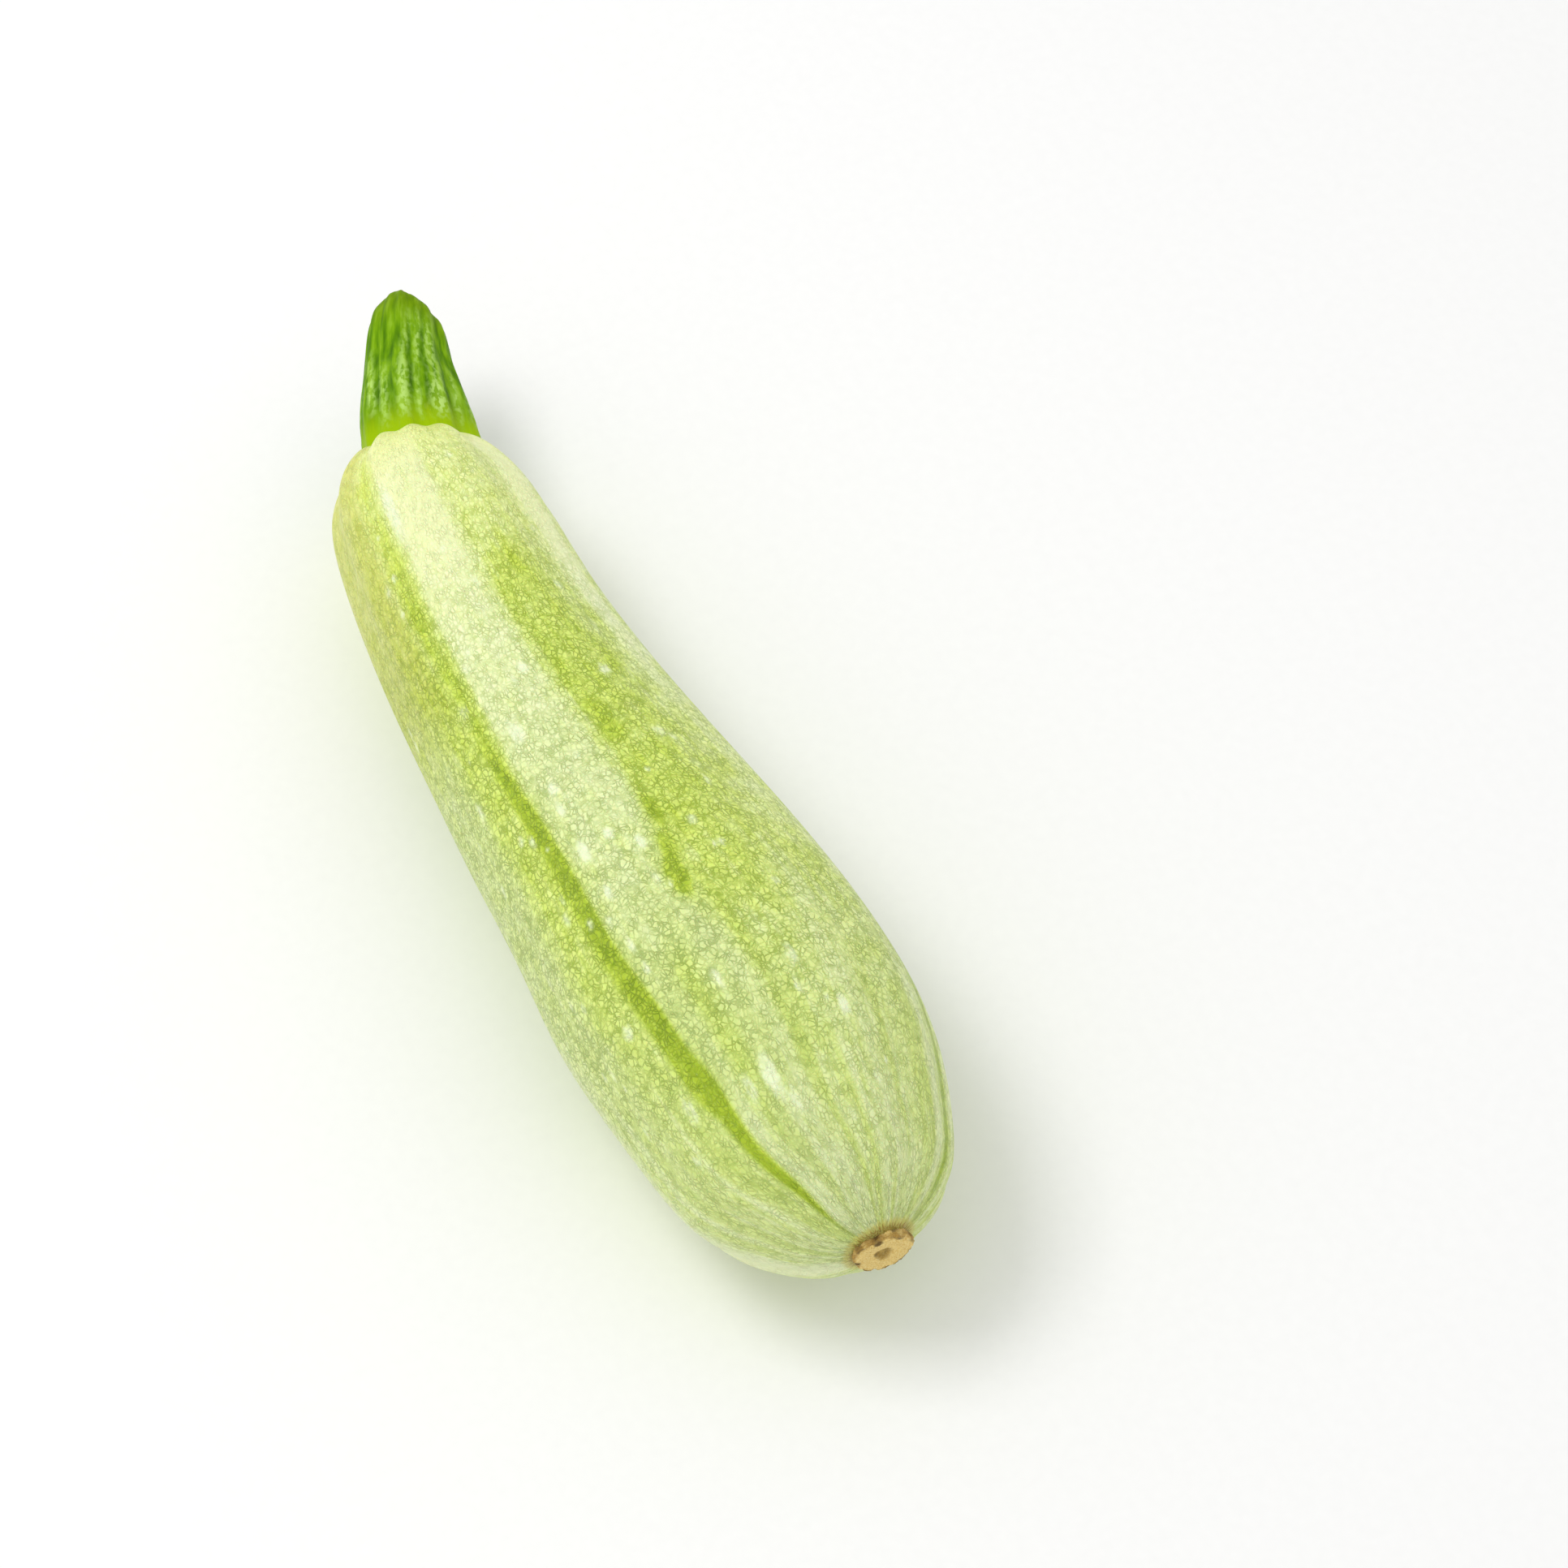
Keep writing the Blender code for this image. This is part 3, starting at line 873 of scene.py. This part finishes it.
class Recipe:
    """A material's nodes while they are put together. Each call adds a node and gives what it makes."""

    def __init__(self, name):
        self.material = bpy.data.materials.new(name)
        self.material.use_nodes = True
        self.nodes = self.material.node_tree.nodes
        self.links = self.material.node_tree.links
        self.shader = self.nodes["Principled BSDF"]

    def feed(self, socket, value):
        if isinstance(value, bpy.types.NodeSocket):
            self.links.new(value, socket)
        else:
            socket.default_value = value

    def add(self, kind, inputs, output=0, **settings):
        node = self.nodes.new(kind)
        for setting, value in settings.items():
            setattr(node, setting, value)
        for key, value in inputs.items():
            self.feed(node.inputs[key], value)
        return node.outputs[output]

    def attribute(self, name, output="Fac"):
        return self.add("ShaderNodeAttribute", {}, output, attribute_name=name)

    def math(self, operation, first, second=0.0, limit=False):
        return self.add("ShaderNodeMath", {0: first, 1: second}, operation=operation, use_clamp=limit)

    def vector(self, operation, first, second, key=1):
        return self.add("ShaderNodeVectorMath", {0: first, key: second}, operation=operation)

    def stretch(self, place, shares):
        return self.vector("MULTIPLY", place, shares)

    def length(self, place):
        return self.add("ShaderNodeVectorMath", {0: place}, "Value", operation="LENGTH")

    def shift(self, value, share, size, limit=False):
        """The value with a share of that size added to it."""
        return self.math("ADD", value, self.math("MULTIPLY", share, size), limit)

    def swing(self, pattern, size):
        """A pattern's value, which lies around a half, as a swing of that size either side of zero."""
        return self.math("MULTIPLY", self.math("SUBTRACT", pattern, 0.5), size)

    def clouds(self, place, scale, detail=2.0, output="Fac"):
        inputs = {"Vector": place, "Scale": scale, "Detail": detail}
        return self.add("ShaderNodeTexNoise", inputs, output)

    def cells(self, place, scale, feature="F1", output="Distance"):
        return self.add("ShaderNodeTexVoronoi", {"Vector": place, "Scale": scale}, output, feature=feature)

    def between(self, value, low, high, start=0.0, end=1.0):
        """start where the value is low or less, end where it is high or more, and a soft step between."""
        inputs = {"Value": value, "From Min": low, "From Max": high, "To Min": start, "To Max": end}
        return self.add("ShaderNodeMapRange", inputs, interpolation_type="SMOOTHSTEP")

    def ramp(self, value, stops):
        node = self.nodes.new("ShaderNodeValToRGB")
        self.feed(node.inputs["Fac"], value)
        points = node.color_ramp.elements
        while len(points) < len(stops):
            points.new(1.0)
        for point, (place, tint) in zip(points, stops):
            point.position = place
            point.color = tint
        return node.outputs["Color"]

    def mix(self, share, first, second, way="MIX"):
        inputs = {"Factor": share, "A": first, "B": second}
        node = self.nodes.new("ShaderNodeMix")
        node.data_type = "RGBA"
        node.blend_type = way
        for socket in node.inputs:
            if socket.name in inputs and (socket.type == "RGBA" or socket.identifier == "Factor_Float"):
                self.feed(socket, inputs[socket.name])
        return next(socket for socket in node.outputs if socket.type == "RGBA")

    def bump(self, height, distance, strength=1.0):
        inputs = {"Height": height, "Distance": distance, "Strength": strength}
        return self.add("ShaderNodeBump", inputs)

    def finish(self, **sockets):
        for key, value in sockets.items():
            self.feed(self.shader.inputs[key.replace("_", " ")], value)
        return self.material


def skin_material():
    """Pale netted skin: light cells between green lines, greener bands, white spots, a waxy shine."""
    skin = Recipe("marrow_skin")
    place = skin.attribute("skin_place", "Vector")
    bands = skin.attribute("skin_green")
    pale_and_bounce_share = skin.attribute("skin_pale_and_bounce_light")
    grey_and_shade_share = skin.attribute("skin_grey_and_shade")
    neck_shade_share = skin.attribute("skin_neck_shade")
    neck = skin.attribute("skin_neck")
    shoulder = skin.attribute("skin_shoulder")
    blossom_end = skin.attribute("skin_rays")
    spot = skin.attribute("skin_spot_and_highlight")
    collar = skin.attribute("skin_collar")

    # Two nets of wavering lines lie over each other, one of cells a millimetre wide and one of twice that
    fine_net, wide_net = 1.06, 0.52
    waver = skin.vector("SUBTRACT", skin.clouds(place, 0.7, 2.0, "Color"), (0.5, 0.5, 0.5))
    bent = skin.vector("ADD", place, skin.vector("SCALE", waver, 1.1, "Scale"))
    bent = skin.stretch(bent, (1.0, 1.0, 0.72))
    fine_lines = skin.between(skin.cells(bent, fine_net, "DISTANCE_TO_EDGE"), 0.0, 0.16, 0.95, 0.0)
    wide_lines = skin.between(skin.cells(bent, wide_net, "DISTANCE_TO_EDGE"), 0.0, 0.09, 1.0, 0.0)
    fine_tone = skin.add("ShaderNodeSeparateColor", {"Color": skin.cells(bent, fine_net, output="Color")})
    grain = skin.clouds(place, 3.2, 3.0)
    broken = skin.between(skin.clouds(place, 0.45, 2.0), 0.35, 0.62, 0.45, 1.0)
    lines = skin.math("MULTIPLY", skin.math("MAXIMUM", fine_lines, wide_lines), broken)

    # Streaks along the fruit and larger mottling shift the green of each place
    streaks = skin.clouds(skin.stretch(place, (1.0, 1.0, 0.07)), 0.75, 3.0)
    mottle = skin.clouds(place, 0.20, 3.0)
    rays = skin.clouds(skin.stretch(place, (1.0, 1.0, 0.05)), 0.32, 3.0)
    green = skin.math("ADD", bands, skin.swing(streaks, 0.50))
    green = skin.math("ADD", green, skin.swing(mottle, 0.42))
    green = skin.shift(green, blossom_end, skin.swing(rays, 1.3))
    # Pale skin and the painted floor light make a place less green
    green = skin.shift(green, pale_and_bounce_share, -0.34)
    green = skin.shift(green, shoulder, -0.16, limit=True)

    line_tint = skin.ramp(
        green,
        (
            (0.0, colour(204, 218, 146)),
            (0.25, colour(184, 202, 116)),
            (0.5, colour(164, 186, 66)),
            (0.75, colour(146, 171, 24)),
            (1.0, colour(126, 152, 0)),
        ),
    )
    cell_tint = skin.ramp(
        green,
        (
            (0.0, colour(250, 255, 207)),
            (0.25, colour(244, 254, 183)),
            (0.5, colour(227, 243, 131)),
            (0.75, colour(208, 229, 84)),
            (1.0, colour(174, 199, 42)),
        ),
    )

    # Past the neck the net is greyer, and painted shade greys its side: both its lines and its cells
    greyer_and_shaded = skin.math("MULTIPLY", grey_and_shade_share, 0.55)
    line_tint = skin.mix(greyer_and_shaded, line_tint, colour(166, 182, 126))
    cell_tint = skin.mix(greyer_and_shaded, cell_tint, colour(222, 234, 176))

    # How light each place of the net is. It is softer on the neck, on pale skin and under the painted floor
    # light, in the neck's painted shade and near the scar
    light = skin.math("MULTIPLY", lines, -0.95)
    for pattern, size in ((fine_tone, 0.36), (grain, 0.70), (streaks, 0.40)):
        light = skin.math("ADD", light, skin.swing(pattern, size))
    calm = skin.shift(1.0, pale_and_bounce_share, skin.between(neck, 0.0, 1.0, -0.34, -0.60))
    for share, size in ((shoulder, -0.25), (neck, -0.22), (blossom_end, -0.42), (neck_shade_share, -0.25)):
        calm = skin.shift(calm, share, size)
    calm = skin.math("MAXIMUM", calm, 0.12)
    light = skin.shift(0.76, light, calm, limit=True)
    tint = skin.mix(light, line_tint, cell_tint)
    yellower = skin.shift(skin.math("MULTIPLY", shoulder, 0.30), neck, 0.15)
    tint = skin.mix(yellower, tint, colour(243, 251, 104))
    # Painted shade: a brown tint over the side of the neck that leans away from the light
    tint = skin.mix(neck_shade_share, tint, colour(231, 227, 182), "MULTIPLY")

    # White spots with soft, uneven edges, three of them near the blossom end a painted highlight
    ragged = skin.swing(skin.clouds(skin.stretch(place, (1.0, 1.0, 0.5)), 1.2, 2.0), 1.8)
    white = skin.math("MULTIPLY", spot, skin.math("ADD", 1.0, ragged))
    tint = skin.mix(skin.between(white, 0.12, 0.80, 0.0, 0.88), tint, colour(240, 250, 206))

    # Yellow-brown skin close round the scar
    scorch = skin.math("ADD", collar, skin.math("SUBTRACT", streaks, 0.5))
    tint = skin.mix(skin.between(scorch, 0.30, 0.80, 0.0, 0.75), tint, colour(212, 204, 100))
    tint = skin.mix(skin.between(scorch, 0.85, 1.10, 0.0, 0.8), tint, colour(166, 128, 44))

    relief = skin.shift(skin.math("MULTIPLY", mottle, 1.4), lines, -0.9)
    return skin.finish(
        Base_Color=tint,
        Roughness=skin.between(mottle, 0.3, 0.7, 0.32, 0.44),
        Specular_IOR_Level=0.35,
        Normal=skin.bump(relief, 0.00012),
        Subsurface_Weight=0.12,
        Subsurface_Scale=0.002,
    )


def stem_material():
    """Green stem: dark furrows, pale flecks along its crests that are partly a painted highlight, a
    yellow-green foot and a dry cut.
    """
    stem = Recipe("marrow_stem_green")
    place = stem.attribute("stem_place", "Vector")
    crest = stem.attribute("stem_crest_highlight")
    furrow = stem.attribute("stem_furrow")
    cut = stem.attribute("stem_cut")
    distance = stem.add("ShaderNodeSeparateXYZ", {"Vector": place}, "Z")

    streaks = stem.clouds(stem.stretch(place, (1.0, 1.0, 0.16)), 0.85, 3.0)
    flecks = stem.clouds(stem.stretch(place, (1.0, 1.0, 0.6)), 1.2, 2.0)
    depth = stem.math("ADD", 0.5, stem.swing(streaks, 1.3))
    # The crests are lighter, partly a painted highlight, and the furrows darker
    depth = stem.shift(stem.shift(depth, furrow, -0.28), crest, 0.16)
    tint = stem.ramp(
        depth,
        (
            (0.15, colour(62, 106, 0)),
            (0.40, colour(92, 140, 0)),
            (0.60, colour(122, 168, 8)),
            (0.85, colour(150, 192, 52)),
        ),
    )
    uneven = stem.math("ADD", distance, stem.swing(streaks, 8.0))
    foot = stem.between(uneven, 3.0, 12.0, 0.95, 0.0)
    tint = stem.mix(foot, tint, colour(156, 190, 0))
    # Pale flecks on the crests, partly a painted highlight
    pale = stem.math("MULTIPLY", crest, stem.between(flecks, 0.42, 0.60, 0.1, 1.0))
    tint = stem.mix(pale, tint, colour(188, 224, 118))
    tip = stem.between(distance, 26.0, 33.5, 0.0, 0.6)
    tint = stem.mix(tip, tint, colour(110, 138, 0))
    fibres = stem.clouds(stem.stretch(place, (1.0, 1.0, 0.1)), 2.6, 3.0)
    dry = stem.ramp(
        fibres,
        ((0.3, colour(122, 92, 44)), (0.5, colour(176, 150, 84)), (0.7, colour(214, 198, 138))),
    )
    tint = stem.mix(stem.between(cut, 0.35, 0.75), tint, dry)
    relief = stem.shift(streaks, furrow, -0.4)
    return stem.finish(
        Base_Color=tint,
        Roughness=stem.between(flecks, 0.3, 0.7, 0.58, 0.44),
        Specular_IOR_Level=0.05,
        Normal=stem.bump(relief, 0.0004),
    )


def scar_material():
    """Dry cork: a tan face, lighter than the cork's own with painted light, with faint rays, a dark torn rim
    and a dark pit.
    """
    scar = Recipe("marrow_scar_cork")
    place = scar.attribute("scar_place", "Vector")
    reach = scar.length(scar.stretch(place, (1.0, 1.0, 0.0)))
    coarse = scar.clouds(place, 0.7, 3.0)
    fine = scar.clouds(place, 3.2, 3.0)
    # The tan is lighter than dry cork's own: painted light that stands in for the lamp light the sideways
    # face lacks
    tint = scar.ramp(
        fine,
        ((0.3, colour(226, 188, 100)), (0.5, colour(244, 214, 132)), (0.7, colour(252, 230, 158))),
    )
    uneven = scar.swing(coarse, 1.5)
    rim = scar.between(scar.math("ADD", reach, uneven), 5.2, 5.9, 0.0, 0.8)
    tint = scar.mix(rim, tint, colour(158, 116, 36))
    pit_reach = scar.length(scar.stretch(place, (1.0, 0.7, 0.0)))
    pit = scar.between(scar.shift(pit_reach, uneven, 0.1), 1.9, 0.9, 0.0, 0.75)
    tint = scar.mix(pit, tint, colour(156, 122, 38))
    tint = scar.mix(scar.between(pit_reach, 0.9, 0.3, 0.0, 0.6), tint, colour(206, 176, 92))
    burnt = scar.math("ADD", scar.attribute("scar_burn"), scar.swing(fine, 0.5))
    tint = scar.mix(scar.between(burnt, 0.20, 0.80, 0.0, 0.9), tint, colour(92, 66, 8))
    return scar.finish(
        Base_Color=tint,
        Roughness=scar.between(fine, 0.3, 0.7, 0.9, 0.72),
        Normal=scar.bump(scar.math("ADD", fine, coarse), 0.0004),
    )


# Stage


def make_floor():
    bpy.ops.object.select_all(action="DESELECT")
    bpy.ops.mesh.primitive_plane_add(size=6.0, location=(0.0, 0.0, 0.0))
    floor = bpy.context.active_object
    floor.name = "pale_floor"
    paint = Recipe("pale_floor_paint")
    grain = paint.clouds(paint.add("ShaderNodeTexCoord", {}, "Object"), 400.0, 2.0)
    tint = paint.ramp(grain, ((0.0, colour(246, 246, 245)), (1.0, colour(250, 250, 249))))
    floor.data.materials.append(paint.finish(Base_Color=tint, Roughness=0.9))


def add_softbox(name, place, aim, size, power):
    lamp = bpy.data.lights.new(name, "AREA")
    lamp.shape = "RECTANGLE"
    lamp.size, lamp.size_y = size
    lamp.energy = power
    holder = bpy.data.objects.new(name, lamp)
    holder.location = place
    holder.rotation_euler = (Vector(aim) - Vector(place)).to_track_quat("-Z", "Y").to_euler()
    bpy.context.scene.collection.objects.link(holder)


def light_studio():
    """A bright pale room, with one large soft lamp high over the stem end's side."""
    world = bpy.data.worlds.new("pale_room")
    world.use_nodes = True
    backdrop = world.node_tree.nodes["Background"]
    backdrop.inputs["Color"].default_value = (1.0, 1.0, 1.0, 1.0)
    backdrop.inputs["Strength"].default_value = ROOM_LIGHT
    bpy.context.scene.world = world
    add_softbox("key_softbox", KEY_PLACE, (0.02, 0.0, 0.03), KEY_SIZE, KEY_POWER)


def place_camera():
    """The camera that sees the marrow from above its blossom end."""
    elevation = CAMERA_ELEVATION
    away = math.cos(elevation)
    forward = Vector((-math.cos(CAMERA_SWING) * away, math.sin(CAMERA_SWING) * away, -math.sin(elevation)))
    right = Vector((math.sin(CAMERA_SWING), math.cos(CAMERA_SWING), 0.0))
    upward = right.cross(forward)
    aim = FRUIT_MIDDLE + Vector((0.0, 0.0, CAMERA_AIM_HEIGHT))
    place = aim + right * CAMERA_RIGHT + upward * CAMERA_UP - forward * CAMERA_DISTANCE
    lens = bpy.data.cameras.new("camera")
    lens.sensor_width = SENSOR_WIDTH
    lens.lens = CAMERA_LENS
    camera = bpy.data.objects.new("camera", lens)
    turned = Matrix((right, upward, -forward)).transposed().to_4x4()
    camera.matrix_world = Matrix.Translation(place * MM) @ turned
    bpy.context.scene.collection.objects.link(camera)
    bpy.context.scene.camera = camera


def main():
    bpy.context.scene.view_settings.view_transform = "Standard"
    make_fruit()
    make_stem()
    make_scar()
    make_floor()
    light_studio()
    place_camera()


main()
